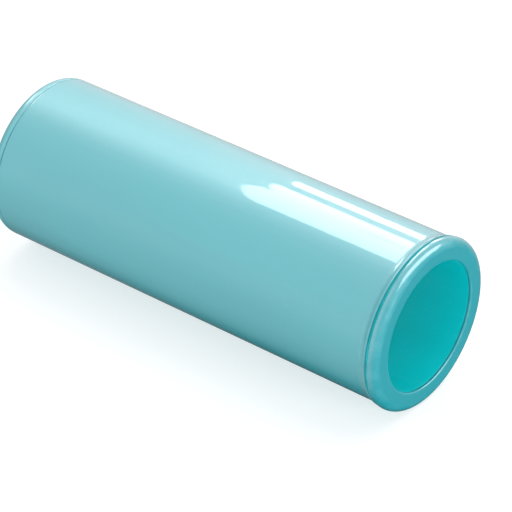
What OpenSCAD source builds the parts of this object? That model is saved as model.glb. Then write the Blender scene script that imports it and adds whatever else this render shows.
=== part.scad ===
// Refillable rigid paint tube, lying on its side.
// A glossy shell holds a liner, the barrel for the paint. A follower piston in the liner
// pushes the paint out through the neck of the front end, which a flush screw cap closes.
// The rim ring screws into the shell's open end and draws the liner out with it.
// The tube's axis runs along X: the open end is at +X and the outlet at -X. Z = 0 is the
// surface that the tube lies on. Each piece is drawn in its own axis frame, where Z is the
// depth from the rim's face towards the outlet, and on_axis() lays it down.

/* [Tube] */
// Length from the rim's face to the front face
tube_len = 113; // [90:1:220]
// Outer diameter of the shell
shell_od = 40; // [38:0.5:60]
// Wall of the shell
shell_wall = 1.4; // [1.1:0.1:2]
// Wall of the liner
liner_wall = 1.6; // [1.4:0.1:2.5]

/* [Rim ring] */
// How far the rim ring stands proud of the shell
rim_proud = 0.6; // [0.3:0.1:1.5]
// Axial length of the rim ring outside the shell
rim_len = 2.3; // [2:0.1:5]
// Rounding of the rim ring's outer edge
rim_round = 1.9; // [0.5:0.1:1.9]
// Thickness of the lip that covers the liner's end
rim_lip = 0.75; // [0.5:0.05:1.5]
// Wall of the threaded spigot that enters the shell
spigot_wall = 1.2; // [1:0.1:2]
// Length of the threaded spigot
spigot_len = 9.5; // [8:0.5:16]
// Thickness of the gasket between the rim ring and the shell
gasket_t = 0.6; // [0.4:0.1:1.2]
// How far the gasket's edge sits below the rim ring's
gasket_inset = 0.35; // [0.1:0.05:0.4]

/* [Shell flare] */
// How far the shell flares out at its open end
flare_h = 0.4; // [0.2:0.05:0.6]
// Length of the curve of the flare
flare_len = 1.6; // [1:0.1:4]
// Straight land at the end of the flare
flare_land = 0.5; // [0.45:0.05:1]

/* [Front end] */
// Length of the front end outside the shell
front_rim_len = 2.8; // [2.4:0.1:6]
// Rounding of the front end's outer edge
front_round = 2; // [0.5:0.1:2.2]
// Wall of the front end's skirts and plates
front_wall = 2; // [1.5:0.1:2.5]
// Depth of the front end's sleeve inside the shell, behind its plate
sleeve_len = 14; // [10:0.5:18]
// Width of the front face, from the well to the shell's outside
land_w = 7; // [5.8:0.1:7.5]
// Depth of the well
well_depth = 14; // [12:0.5:18]
// Outer radius of the neck
neck_r = 6; // [5.8:0.1:8]
// Height of the neck above the well's floor
neck_len = 7.4; // [6:0.1:8]
// Radius of the paint outlet
outlet_r = 3; // [2:0.1:3.2]

/* [Cap] */
// Gap between the cap and the well
cap_gap = 0.8; // [0.5:0.1:1.5]
// How far the cap sits below the front face
cap_recess = 0.8; // [0.3:0.1:1.5]
// Wall of the cap's skirt, sleeve and plate
cap_wall = 1.3; // [1:0.1:1.8]
// Radial room for the thread between the neck and the cap's sleeve
thread_room = 0.55; // [0.45:0.05:0.8]
// Thickness of the cap's seal
cap_seal_t = 1; // [0.8:0.1:1.5]
// Width of the cap's finger bar
bar_w = 3.2; // [2:0.1:5]

/* [Piston] */
// How far the piston can move back before it meets the stop ring
piston_back = 4; // [0.5:0.5:45]
// Length of the piston's wall
piston_len = 13; // [12:0.5:20]
// Wall of the piston's cup
piston_wall = 2.6; // [2.3:0.1:4]
// Gap between the piston's wall and the liner's bore
piston_gap = 0.3; // [0.2:0.05:0.5]
// Gap between the wiper seals and the liner's bore
wiper_gap = 0.05; // [0.01:0.01:0.1]
// Width of a wiper seal
wiper_w = 1.9; // [1.6:0.1:2.2]
// Depth of a wiper seal's groove
wiper_groove = 1.3; // [1:0.05:1.5]
// Ribs inside the piston's cup
rib_count = 6; // [3:1:12]
// Depth of the stop ring below the rim's face
stop_depth = 17.5; // [14:0.5:30]

/* [Hidden] */
$fn = 96;
over = 0.5;           // how far a cut runs past the face it opens

// Radial stack, from the outside in
run_gap = 0.1;        // running clearance between pieces that slide or turn
bond_gap = 0.05;      // clearance filled by the bond of the front end in the shell
shell_r = shell_od / 2;
rim_r = shell_r + rim_proud;
shell_bore_r = shell_r - shell_wall;
spigot_r = shell_bore_r - run_gap;
spigot_bore_r = spigot_r - spigot_wall;
liner_r = spigot_bore_r - run_gap;
bore_r = liner_r - liner_wall;
axis_h = rim_r;       // the tube rests on its rim ring

// Depths along the axis
shell_start = rim_len + gasket_t;
well_r = shell_r - land_w;
shell_end = tube_len - front_rim_len;
well_floor = tube_len - well_depth;
plate_back = well_floor - front_wall;
neck_top = well_floor + neck_len;

// Small edges
edge_round = 0.25;    // broken edges of mouldings
mouth_round = 0.35;   // inner edge of the mouth
flare_round = 0.4;    // outer edge of the shell's open end
rim_fillet = min(rim_round, rim_len - edge_round);
well_round = 0.6;     // edge of the well

// Liner
seat_gap = 0.3;       // from the liner's boss to the front end's plate
cone_slope = 1 / 3;   // axial rise of the liner's front cone for each unit of radius
liner_start = rim_lip + run_gap;
liner_seat = plate_back - seat_gap;
cone_tip = liner_seat - liner_wall;
cone_start = cone_tip - cone_slope * (bore_r - outlet_r);
cone_wall = liner_wall * sqrt(1 + cone_slope * cone_slope);
liner_corner = cone_tip + cone_wall - cone_slope * (liner_r - outlet_r);
nose_r = outlet_r + 1.6;
nose_len = 4.1;
nose_gap = 0.15;      // from the nose to its socket
socket_r = nose_r + nose_gap;
socket_depth = 4.2;
boss_r = nose_r + 2.9;
nose_seal_at = liner_seat + nose_len / 2;
nose_seal_wire = 0.45;
nose_groove_depth = 0.85;
nose_groove_w = 1.1;

// Keys that stop the liner turning with the rim ring
key_count = 3;
key_w = 2;
key_h = 0.9;
key_slot_w = key_w + 4 * run_gap;
key_inset = 0.5;      // from the key's ends to the sleeve's end and the liner's corner
sleeve_start = plate_back - sleeve_len;
key_start = sleeve_start + key_inset;
key_end = liner_corner - key_inset;

// Retaining clip, half in the liner and half in the spigot
clip_at = rim_len + 3.2;
clip_w = 0.9;
clip_bite = 0.35;     // how far the clip enters each wall
clip_open = 30;       // angle of the clip's opening

// Stop ring in the liner's bore
stop_w = 0.9;
stop_in = 0.55;       // how far it stands into the bore
stop_bite = 0.45;     // how far it enters the wall
stop_open = 30;

// Piston
piston_r = bore_r - piston_gap;
piston_depth = stop_depth + stop_w / 2 + piston_back;
piston_front = piston_depth + piston_len;
cup_r = piston_r - piston_wall;
web_t = 2.2;
plug_r = outlet_r - 0.4;
plug_len = 3;
piston_tip = piston_front + cone_slope * (piston_r - outlet_r);
wiper_inset = 2.2;    // from each end of the piston's wall to the middle of its seal
wiper_side_gap = 0.05;
hub_r = 3.5;
rib_t = 1.2;
rib_back = 1.5;       // how far the ribs end inside the cup

// Cap
cap_r = well_r - cap_gap;
cap_top = tube_len - cap_recess;
cap_floor = neck_top + cap_seal_t;
cap_bore_r = neck_r + thread_room;
cap_foot = 0.4;       // from the cap's skirt to the well's floor
seal_side_gap = 0.15;
cap_round = 0.7;

// Lays the axis frame down: depth runs along -X
module on_axis() {
    translate([tube_len / 2, 0, axis_h])
        rotate([0, -90, 0])
            children();
}

// Rectangle of a turned profile: radii r0 to r1, depths d0 to d1
module band(r0, r1, d0, d1) {
    translate([r0, d0])
        square([r1 - r0, d1 - d0]);
}

// What is cut away to round the corner at (r, d); in_r and in_d say on which side the
// material lies, as 1 or -1
module corner_cut(r, d, radius, in_r, in_d) {
    translate([r, d])
        mirror([in_r < 0 ? 1 : 0, 0, 0])
            mirror([0, in_d < 0 ? 1 : 0, 0])
                difference() {
                    translate([-over, -over])
                        square(radius + over);
                    translate([radius, radius])
                        circle(radius);
                }
}

// Ring of rectangular section, open by an angle
module open_ring(r0, r1, at, width, open_angle) {
    translate([0, 0, at - width / 2])
        rotate([0, 0, open_angle / 2])
            rotate_extrude(angle = 360 - open_angle)
                band(r0, r1, 0, width);
}

module flare_profile() {
    arc_r = (flare_len * flare_len + flare_h * flare_h) / (2 * flare_h);
    land_end = shell_start + flare_land;
    band(shell_r - over, shell_r + flare_h, shell_start, land_end);
    difference() {
        band(shell_r - over, shell_r + flare_h, land_end, land_end + flare_len);
        translate([shell_r + arc_r, land_end + flare_len])
            circle(arc_r, $fn = 720);
    }
}

module outer_shell() {
    color([0.56, 0.84, 0.88])
        on_axis()
            rotate_extrude()
                difference() {
                    union() {
                        band(shell_bore_r, shell_r, shell_start, shell_end);
                        flare_profile();
                    }
                    corner_cut(shell_r + flare_h, shell_start, flare_round, -1, 1);
                    corner_cut(shell_r, shell_end, edge_round, -1, -1);
                }
}

module front_end_profile() {
    skirt_r = well_r + front_wall;
    difference() {
        union() {
            band(well_r, shell_r, shell_end, tube_len);
            band(spigot_bore_r, shell_bore_r - bond_gap, sleeve_start, tube_len - front_wall);
            band(well_r, skirt_r, plate_back, tube_len);
            band(outlet_r, skirt_r, plate_back, well_floor);
            band(outlet_r, neck_r, plate_back, neck_top);
        }
        band(skirt_r, spigot_bore_r, plate_back - over, tube_len - front_wall);
        band(outlet_r - over, socket_r, plate_back - over, plate_back + socket_depth);
        corner_cut(shell_r, tube_len, front_round, -1, -1);
        corner_cut(shell_r, shell_end, edge_round, -1, 1);
        corner_cut(well_r, tube_len, well_round, 1, -1);
        corner_cut(neck_r, neck_top, edge_round, -1, -1);
    }
}

module front_end() {
    color([0.56, 0.84, 0.88])
        on_axis()
            difference() {
                rotate_extrude()
                    front_end_profile();
                for (k = [0 : key_count - 1])
                    rotate([0, 0, k * 360 / key_count])
                        translate([spigot_bore_r - over, -key_slot_w / 2, sleeve_start - over])
                            cube([spigot_wall + 2 * over, key_slot_w, sleeve_len + over]);
            }
}

module liner_profile() {
    difference() {
        union() {
            band(bore_r, liner_r, liner_start, cone_start);
            polygon([
                [outlet_r, cone_tip],
                [bore_r, cone_start],
                [liner_r, cone_start],
                [liner_r, liner_corner],
                [boss_r, cone_tip + cone_wall - cone_slope * (boss_r - outlet_r)],
                [boss_r, liner_seat],
                [outlet_r, liner_seat]
            ]);
            band(outlet_r, nose_r, liner_seat, liner_seat + nose_len);
        }
        band(liner_r - clip_bite - run_gap, liner_r + over,
             clip_at - clip_w / 2 - run_gap / 2, clip_at + clip_w / 2 + run_gap / 2);
        band(bore_r - over, bore_r + stop_bite + run_gap,
             stop_depth - stop_w / 2 - run_gap / 2, stop_depth + stop_w / 2 + run_gap / 2);
        band(nose_r - nose_groove_depth, nose_r + over,
             nose_seal_at - nose_groove_w / 2, nose_seal_at + nose_groove_w / 2);
        corner_cut(nose_r, liner_seat + nose_len, edge_round, -1, -1);
    }
}

module inner_liner() {
    color([0.02, 0.66, 0.68])
        on_axis() {
            rotate_extrude()
                liner_profile();
            for (k = [0 : key_count - 1])
                rotate([0, 0, k * 360 / key_count])
                    translate([liner_r - liner_wall / 2, -key_w / 2, key_start])
                        cube([key_h + liner_wall / 2, key_w, key_end - key_start]);
        }
}

module liner_nose_seal() {
    color([0.12, 0.13, 0.14])
        on_axis()
            translate([0, 0, nose_seal_at])
                rotate_extrude()
                    translate([socket_r - wiper_gap - nose_seal_wire, 0])
                        circle(nose_seal_wire);
}

module retaining_clip() {
    color([0.75, 0.76, 0.78])
        on_axis()
            open_ring(liner_r - clip_bite, spigot_bore_r + clip_bite, clip_at, clip_w, clip_open);
}

module piston_stop_ring() {
    color([0.75, 0.76, 0.78])
        on_axis()
            open_ring(bore_r - stop_in, bore_r + stop_bite, stop_depth, stop_w, stop_open);
}

module rim_ring() {
    color([0.36, 0.74, 0.78])
        on_axis()
            rotate_extrude()
                difference() {
                    union() {
                        band(bore_r, rim_r, 0, rim_len);
                        band(spigot_bore_r, spigot_r, 0, rim_len + spigot_len);
                    }
                    band(bore_r - over, spigot_bore_r, rim_lip, rim_len + over);
                    band(spigot_bore_r - over, spigot_bore_r + clip_bite + run_gap,
                         clip_at - clip_w / 2 - run_gap / 2, clip_at + clip_w / 2 + run_gap / 2);
                    corner_cut(rim_r, 0, rim_fillet, -1, 1);
                    corner_cut(rim_r, rim_len, edge_round, -1, -1);
                    corner_cut(bore_r, 0, mouth_round, 1, 1);
                    corner_cut(spigot_r, rim_len + spigot_len, edge_round, -1, -1);
                }
}

module rim_gasket() {
    color([0.03, 0.58, 0.6])
        on_axis()
            rotate_extrude()
                band(spigot_r + bond_gap, rim_r - gasket_inset, rim_len, shell_start);
}

module piston_profile() {
    difference() {
        union() {
            polygon([
                [0, piston_depth],
                [piston_r, piston_depth],
                [piston_r, piston_front],
                [outlet_r, piston_tip],
                [0, piston_tip]
            ]);
            band(0, plug_r, piston_tip - over, piston_tip + plug_len);
        }
        polygon([
            [0, piston_depth - over],
            [cup_r, piston_depth - over],
            [cup_r, piston_front - web_t],
            [outlet_r, piston_tip - web_t],
            [0, piston_tip - web_t]
        ]);
        for (at = [piston_depth + wiper_inset, piston_front - wiper_inset])
            band(piston_r - wiper_groove, piston_r + over,
                 at - wiper_w / 2 - wiper_side_gap, at + wiper_w / 2 + wiper_side_gap);
        corner_cut(piston_r, piston_depth, edge_round, -1, 1);
        corner_cut(plug_r, piston_tip + plug_len, edge_round, -1, -1);
    }
}

// A rib that fills the cup from the hub to the wall and follows its cone
module piston_rib() {
    rib_r = cup_r + piston_wall / 4;
    translate([0, rib_t / 2, 0])
        rotate([90, 0, 0])
            linear_extrude(rib_t)
                polygon([
                    [0, piston_depth + rib_back],
                    [rib_r, piston_depth + rib_back],
                    [rib_r, piston_front - web_t / 2],
                    [outlet_r, piston_tip - web_t / 2],
                    [0, piston_tip - web_t / 2]
                ]);
}

module follower_piston() {
    color([0.86, 0.93, 0.93])
        on_axis() {
            rotate_extrude()
                piston_profile();
            translate([0, 0, piston_depth + rib_back])
                cylinder(r = hub_r, h = piston_tip - web_t / 2 - piston_depth - rib_back);
            for (k = [0 : rib_count - 1])
                rotate([0, 0, k * 360 / rib_count])
                    piston_rib();
        }
}

// A wiper seal: a flat root in the groove and a round lip against the bore
module wiper_seal(at) {
    root_r = piston_r - wiper_groove + wiper_side_gap;
    lip_r = bore_r - wiper_gap;
    half = wiper_w / 2;
    color([0.05, 0.5, 0.53])
        on_axis()
            translate([0, 0, at])
                rotate_extrude()
                    intersection() {
                        band(root_r, lip_r + over, -half, half);
                        union() {
                            band(root_r, lip_r - half, -half, half);
                            translate([lip_r - half, 0])
                                circle(half);
                        }
                    }
}

module front_wiper_seal() {
    wiper_seal(piston_front - wiper_inset);
}

module rear_wiper_seal() {
    wiper_seal(piston_depth + wiper_inset);
}

module screw_cap() {
    color([0.02, 0.66, 0.68])
        on_axis() {
            rotate_extrude()
                difference() {
                    union() {
                        band(0, cap_r, cap_floor, cap_floor + cap_wall);
                        band(cap_r - cap_wall, cap_r, well_floor + cap_foot, cap_top);
                        band(cap_bore_r, cap_bore_r + cap_wall, well_floor + cap_foot, cap_floor);
                    }
                    corner_cut(cap_r, cap_top, cap_round, -1, -1);
                    corner_cut(cap_r, well_floor + cap_foot, edge_round, -1, 1);
                }
            translate([cap_wall / 2 - cap_r, -bar_w / 2, cap_floor + cap_wall / 2])
                cube([2 * cap_r - cap_wall, bar_w, cap_top - cap_floor - cap_wall / 2 - cap_round]);
        }
}

module cap_seal() {
    color([0.93, 0.94, 0.93])
        on_axis()
            translate([0, 0, neck_top])
                cylinder(r = cap_bore_r - seal_side_gap, h = cap_seal_t);
}

outer_shell();
front_end();
inner_liner();
liner_nose_seal();
retaining_clip();
piston_stop_ring();
rim_ring();
rim_gasket();
follower_piston();
front_wiper_seal();
rear_wiper_seal();
screw_cap();
cap_seal();
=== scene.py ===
"""Refillable rigid paint tube: the looks of each piece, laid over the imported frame.

The tube's axis runs along X. Its open mouth faces +X and its outlet end faces -X.
"""

import math

import bmesh
import bpy
from bpy.props import FloatProperty, FloatVectorProperty, IntProperty, PointerProperty
from mathutils import Matrix, Vector


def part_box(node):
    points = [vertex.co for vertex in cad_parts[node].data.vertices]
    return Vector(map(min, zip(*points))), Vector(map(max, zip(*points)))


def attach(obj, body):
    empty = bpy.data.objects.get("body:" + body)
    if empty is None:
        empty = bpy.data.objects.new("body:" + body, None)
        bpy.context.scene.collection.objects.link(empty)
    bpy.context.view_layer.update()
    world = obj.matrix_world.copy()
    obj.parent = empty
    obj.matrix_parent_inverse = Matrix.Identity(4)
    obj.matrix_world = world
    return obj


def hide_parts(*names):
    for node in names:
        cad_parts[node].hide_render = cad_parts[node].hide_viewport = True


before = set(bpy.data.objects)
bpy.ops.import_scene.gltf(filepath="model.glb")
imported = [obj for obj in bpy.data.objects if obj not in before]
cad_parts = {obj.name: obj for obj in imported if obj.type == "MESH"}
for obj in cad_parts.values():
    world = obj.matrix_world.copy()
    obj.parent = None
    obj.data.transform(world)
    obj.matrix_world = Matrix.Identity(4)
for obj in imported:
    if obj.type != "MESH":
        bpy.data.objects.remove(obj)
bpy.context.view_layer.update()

bl_info = {
    "name": "Paint Tube",
    "version": (1, 0, 0),
    "blender": (4, 5, 0),
    "location": "3D View > Sidebar > Paint Tube",
    "description": "Builds a refillable rigid paint tube, its finishes and a plain studio",
    "category": "Object",
}

RIM_LOW, RIM_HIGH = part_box("rim_ring")
SHELL_LOW, SHELL_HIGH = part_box("outer_shell")
FRONT_LOW, FRONT_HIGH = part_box("front_end")
LINER_LOW, LINER_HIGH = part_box("inner_liner")
PISTON_LOW, PISTON_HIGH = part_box("follower_piston")
CAP_LOW, CAP_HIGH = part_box("screw_cap")
GASKET_LOW, GASKET_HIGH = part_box("rim_gasket")

MM = 0.001
DEG = math.pi / 180
TURN = 2 * math.pi
MOUTH_X = RIM_HIGH.x  # the rim's face, from which every depth is measured
AXIS_Z = (RIM_LOW.z + RIM_HIGH.z) / 2
AXIS = (0.0, 0.0, AXIS_Z)
KEYS = 3  # keys of the liner, in as many slots of the front end
FIRST_KEY = -90 * DEG
LINER_COVER = 0.07 * MM  # how far the liner's end stands out over its node's


def depth_of(x):
    """Depth below the rim's face, in metres, of a place along X."""
    return MOUTH_X - x


def span(low, high):
    """Outer radius of a turned node from its box."""
    return (high.y - low.y) / 2


def length(name, description, default):
    """A size, in metres, that the sidebar shows as a length."""
    return FloatProperty(name=name, description=description, default=default, min=0.0,
                         unit="LENGTH", subtype="DISTANCE", precision=5)


def mm(name, description, default):
    """The same, from a default in millimetres."""
    return length(name, description, default * MM)


def colour(name, description, default):
    """A colour that the sidebar shows as a swatch."""
    return FloatVectorProperty(name=name, description=description, default=default,
                               size=3, min=0.0, max=1.0, subtype="COLOR")


# Sizes and colours ------------


class TubeSizes(bpy.types.PropertyGroup):
    """Sizes of the shell and the front end."""

    shell_radius: length("Shell radius", "Outside of the shell", FRONT_HIGH.y)
    bore_radius: length("Bore radius", "Inside of the shell", FRONT_HIGH.y - 1.4 * MM)
    flare_radius: length("Flare radius", "Outside of the shell's open end", SHELL_HIGH.y)
    flare_land: mm("Flare land", "Straight part of the flare", 0.5)
    flare_length: mm("Flare length", "Curve of the flare", 1.6)
    flare_rounding: mm("Flare rounding", "Outer edge of the flare", 0.4)
    shell_start: length("Shell start", "Depth of the shell's open end", depth_of(SHELL_HIGH.x))
    shell_end: length("Shell end", "Depth of the shell's front end", depth_of(SHELL_LOW.x))
    front_face: length("Front face", "Depth of the front face", depth_of(FRONT_LOW.x))
    front_rounding: mm("Front rounding", "Outer edge of the front end", 2)
    front_wall: mm("Front wall", "Wall of the front end's skirts and plates", 2)
    sleeve_start: length("Sleeve start", "Depth of the sleeve's inner end",
                         depth_of(FRONT_HIGH.x))
    sleeve_radius: mm("Sleeve radius", "Outside of the sleeve", 18.55)
    sleeve_bore: mm("Sleeve bore", "Inside of the sleeve", 17.3)
    key_slot: mm("Key slot", "Width of the sleeve's slots for the liner's keys", 2.4)
    well_radius: mm("Well radius", "Radius of the well for the cap", 13)
    well_depth: mm("Well depth", "Depth of the well below the front face", 14)
    well_rounding: mm("Well rounding", "Edge of the well", 0.6)
    neck_radius: mm("Neck radius", "Outside of the neck", 6)
    neck_height: mm("Neck height", "Height of the neck above the well's floor", 7.4)
    outlet_radius: mm("Outlet radius", "Radius of the paint outlet", 3)
    socket_radius: mm("Socket radius", "Socket for the liner's nose", 4.75)
    socket_depth: mm("Socket depth", "Depth of that socket", 4.2)


class RimSizes(bpy.types.PropertyGroup):
    """Sizes of the rim ring and its gasket."""

    radius: length("Rim radius", "Outside of the rim ring", span(RIM_LOW, RIM_HIGH))
    mouth_radius: mm("Mouth radius", "Inside of the mouth", 15.6)
    thickness: mm("Rim thickness", "Length of the ring outside the shell", 2.3)
    rounding: mm("Rim rounding", "Outer edge of the rim", 1.9)
    mouth_rounding: mm("Mouth rounding", "Inner edge of the mouth", 0.35)
    lip: mm("Lip", "Thickness of the lip over the liner's end", 0.75)
    spigot_radius: mm("Spigot radius", "Crest of the spigot's thread", 18.5)
    spigot_bore: mm("Spigot bore", "Inside of the spigot", 17.3)
    spigot_end: length("Spigot end", "Depth of the spigot's end", depth_of(RIM_LOW.x))
    thread_depth: mm("Thread depth", "Height of the spigot's thread", 0.5)
    thread_lead: mm("Thread lead", "Travel of the rim for one turn", 4)
    clip_depth: mm("Clip depth", "Depth of the retaining clip", 5.5)
    gasket_inner: mm("Gasket inner radius", "Inside of the gasket", 18.55)
    gasket_outer: length("Gasket outer radius", "Outside of the gasket",
                         span(GASKET_LOW, GASKET_HIGH))


class LinerSizes(bpy.types.PropertyGroup):
    """Sizes of the liner, its clip, its stop ring and its nose seal."""

    radius: mm("Liner radius", "Outside of the liner", 17.2)
    bore: mm("Liner bore", "Inside of the liner", 15.6)
    start: length("Liner start", "Depth of the liner's open end",
                  depth_of(LINER_HIGH.x) - LINER_COVER)
    cone_start: mm("Cone start", "Depth where the liner's cone begins", 90.9)
    cone_tip: mm("Cone tip", "Depth where the cone meets the outlet", 95.1)
    corner: mm("Cone corner", "Depth of the cone's outer corner", 92.053)
    boss_radius: mm("Boss radius", "Boss behind the nose", 7.5)
    boss_corner: mm("Boss corner", "Depth where the cone meets the boss", 95.286)
    seat: mm("Seat", "Depth of the boss's face", 96.7)
    nose_radius: mm("Nose radius", "Outside of the nose", 4.6)
    nose_end: length("Nose end", "Depth of the nose's end", depth_of(LINER_LOW.x))
    nose_groove: mm("Nose groove", "Depth of the nose seal's groove", 0.85)
    nose_groove_width: mm("Nose groove width", "Width of that groove", 1.1)
    nose_seal_wire: mm("Nose seal wire", "Radius of the nose seal's section", 0.45)
    key_width: mm("Key width", "Width of a key", 2)
    key_height: mm("Key height", "Height of a key", 0.9)
    key_start: mm("Key start", "Depth of the keys' inner end", 83.5)
    key_end: mm("Key end", "Depth of the keys' front end", 91.553)
    stop_depth: mm("Stop depth", "Depth of the stop ring", 17.5)
    ring_width: mm("Ring width", "Axial width of the clip and the stop ring", 0.9)


class PistonSizes(bpy.types.PropertyGroup):
    """Sizes of the follower piston and its wiper seals."""

    radius: length("Piston radius", "Outside of the piston", span(PISTON_LOW, PISTON_HIGH))
    rear: length("Rear", "Depth of the piston's rear edge", depth_of(PISTON_HIGH.x))
    wall_length: mm("Wall length", "Length of the piston's wall", 13)
    wall: mm("Wall", "Wall of the piston's cup", 2.6)
    web: mm("Web", "Thickness of the piston's front", 2.2)
    cone: mm("Cone", "Height of the piston's cone", 4.1)
    plug_radius: mm("Plug radius", "Radius of the plug at the tip", 2.6)
    plug_end: length("Plug end", "Depth of the plug's end", depth_of(PISTON_LOW.x))
    hub_radius: mm("Hub radius", "Radius of the hub in the cup", 3.5)
    rib: mm("Rib", "Thickness of a rib", 1.2)
    rib_back: mm("Rib set-back", "How far the ribs end inside the cup", 1.5)
    wiper_inset: mm("Wiper inset", "From each end of the wall to its seal", 2.2)
    wiper_width: mm("Wiper width", "Width of a wiper seal", 1.9)
    wiper_groove: mm("Wiper groove", "Depth of a wiper seal's groove", 1.3)
    wiper_radius: mm("Wiper radius", "Lip of a wiper seal", 15.55)
    rib_count: IntProperty(name="Ribs", description="Ribs in the cup", default=6, min=3)


class CapSizes(bpy.types.PropertyGroup):
    """Sizes of the screw cap and its seal."""

    radius: length("Cap radius", "Outside of the cap", span(CAP_LOW, CAP_HIGH))
    top: length("Top", "Depth of the cap's top edge", depth_of(CAP_LOW.x))
    foot: length("Foot", "Depth of the cap's foot", depth_of(CAP_HIGH.x))
    plate: mm("Plate", "Depth of the cap's plate, on the seal", 107.4)
    wall: mm("Wall", "Wall of the cap", 1.3)
    sleeve_bore: mm("Sleeve bore", "Inside of the threaded sleeve", 6.55)
    thread_lead: mm("Thread lead", "Travel of the cap for one turn", 3.5)
    bar_width: mm("Bar width", "Width of the finger bar", 3.2)
    bar_drop: mm("Bar drop", "How far the bar sits below the cap's edge", 0.7)
    seal_thickness: mm("Seal thickness", "Thickness of the seal", 1)
    seal_radius: mm("Seal radius", "Radius of the seal", 6.4)


class FinishColours(bpy.types.PropertyGroup):
    """Colours of the finishes."""

    shell: colour("Shell", "Shell and front end", (0.004, 0.335, 0.390))
    rim: colour("Rim", "Rim ring", (0.003, 0.31, 0.365))
    liner: colour("Liner", "Liner and cap", (0.0005, 0.64, 0.675))
    gasket: colour("Gasket", "Rim gasket", (0.0, 0.46, 0.50))
    seal: colour("Seals", "Nose seal", (0.012, 0.014, 0.016))
    wiper: colour("Wipers", "Wiper seals", (0.004, 0.16, 0.18))
    piston: colour("Piston", "Follower piston", (0.56, 0.74, 0.74))
    steel: colour("Steel", "Clip and stop ring", (0.60, 0.61, 0.62))
    foam: colour("Foam", "Seal of the cap", (0.80, 0.82, 0.80))
    floor: colour("Floor", "Studio floor", (0.50, 0.50, 0.50))


# Mesh tools ------------

# The edge layer marks rounded edges for rubbed wear and, on glossy plastic, a painted highlight.
EDGE_LAYER = "edge_wear"  # 1 on rounded edges, 0 on flat faces
STEPS = 192  # flats round a full turn
SUPPORT = 0.22 * MM  # from a rounded corner to the cut that keeps its flat flat
EVEN = 9 * MM  # longest flat along an outline
ARC_STEP = 0.22 * MM  # growth of a rounding that earns it one more flat
ON_AXIS = 1e-9  # closer to the axis than this is on it

# Roundings that many corners share
EDGE = 0.05 * MM
CRISP = 0.1 * MM
FINE = 0.15 * MM
SMALL = 0.2 * MM
PLAIN = 0.25 * MM
EASED = 0.3 * MM
MILD = 0.35 * MM
GENTLE = 0.4 * MM
SOFT = 0.5 * MM
BOLD = 0.6 * MM
FULL = 0.8 * MM


def rounding_segments(rounding):
    """Enough flats for a smooth edge: more for a larger rounding."""
    return max(3, min(12, round(3 + rounding / ARC_STEP)))


def place(depth, radius):
    """The point at a depth below the rim's face and a radius above the axis."""
    return (MOUTH_X - depth, 0.0, AXIS_Z + radius)


def swing(bm, verts, angle):
    """Turns points about the tube's axis."""
    bmesh.ops.rotate(bm, cent=AXIS, matrix=Matrix.Rotation(angle, 3, "X"), verts=verts)


def sweep(bm, geom, angle, steps, closed=False, rise=0.0):
    """Spins a face or an outline about the tube's axis, and gives its last place."""
    made = bmesh.ops.spin(bm, geom=geom, cent=AXIS, axis=(1, 0, 0), dvec=(rise, 0, 0),
                          angle=angle, steps=steps, use_merge=closed, use_duplicate=False)
    return made["geom_last"]


def rounded(bm, geom, affect, offset, segments):
    """Rounds corners or edges, and marks what that makes in the edge layer."""
    mark = bm.verts.layers.float[EDGE_LAYER]
    known = set(bm.verts)
    bmesh.ops.bevel(bm, geom=geom, offset=offset, offset_type="OFFSET", affect=affect,
                    segments=segments, profile=0.5, material=-1)
    for v in set(bm.verts) - known:
        v[mark] = 1.0


def outline(bm, corners):
    """A flat face above the axis, in an empty bmesh, from (depth, radius, rounding)
    corners, in metres."""
    bm.verts.layers.float.new(EDGE_LAYER)
    verts = [bm.verts.new(place(depth, radius)) for depth, radius, _ in corners]
    bm.faces.new(verts)
    for rounding in sorted({corner[2] for corner in corners if corner[2]}):
        picked = [v for v, corner in zip(verts, corners) if corner[2] == rounding]
        rounded(bm, picked, "VERTICES", rounding, rounding_segments(rounding))
    return next(iter(bm.faces))


def cut_long_edges(bm, edges):
    """Cuts each long edge close to both ends and evenly between, and returns them all."""
    mark = bm.verts.layers.float[EDGE_LAYER]
    cut = set(edges)
    for edge in edges:
        whole = edge.calc_length()
        if whole < 4 * SUPPORT:
            continue
        end, v = bmesh.utils.edge_split(edge, edge.verts[0], SUPPORT / whole)
        far = edge.other_vert(v)
        other_end, w = bmesh.utils.edge_split(edge, far, SUPPORT / (whole - SUPPORT))
        v[mark] = w[mark] = 0.0
        cut |= {end, other_end}
        count = int(edge.calc_length() / EVEN)
        if count:
            made = bmesh.ops.subdivide_edges(bm, edges=[edge], cuts=count)
            cut |= {g for g in made["geom"] if isinstance(g, bmesh.types.BMEdge)}
    return [edge for edge in cut if edge.is_valid]


def turned(corners, steps=STEPS):
    """A solid of revolution from an outline. An outline that touches the axis closes
    there at a pole."""
    bm = bmesh.new()
    face = outline(bm, corners)
    edges = list(face.edges)
    bmesh.ops.delete(bm, geom=[face], context="FACES_ONLY")
    on_axis = [e for e in edges if all(abs(v.co.z - AXIS_Z) < ON_AXIS for v in e.verts)]
    bmesh.ops.delete(bm, geom=on_axis, context="EDGES")
    edges = cut_long_edges(bm, [e for e in edges if e.is_valid])
    verts = {v for e in edges for v in e.verts}
    sweep(bm, edges + list(verts), TURN, steps, closed=True)
    return bm


def part_turned(bm, corners, first, angle, steps):
    """Adds a solid turned through part of a circle, from the angle first, with closed
    ends."""
    part = bmesh.new()
    face = outline(part, corners)
    geom = [face] + list(face.edges) + list(face.verts)
    swing(part, list(face.verts), first)
    sweep(part, geom, angle, steps)
    join(bm, part)


def mesh_of(name, bm):
    """Ends a bmesh as a mesh."""
    mesh = bpy.data.meshes.new(name)
    bm.to_mesh(mesh)
    bm.free()
    return mesh


def new_object(name, data):
    """An object of the scene."""
    made = bpy.data.objects.new(name, data)
    bpy.context.scene.collection.objects.link(made)
    return made


def join(bm, part):
    """Adds a finished part to a piece."""
    mesh = mesh_of("part", part)
    bm.from_mesh(mesh)
    bpy.data.meshes.remove(mesh)


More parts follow.
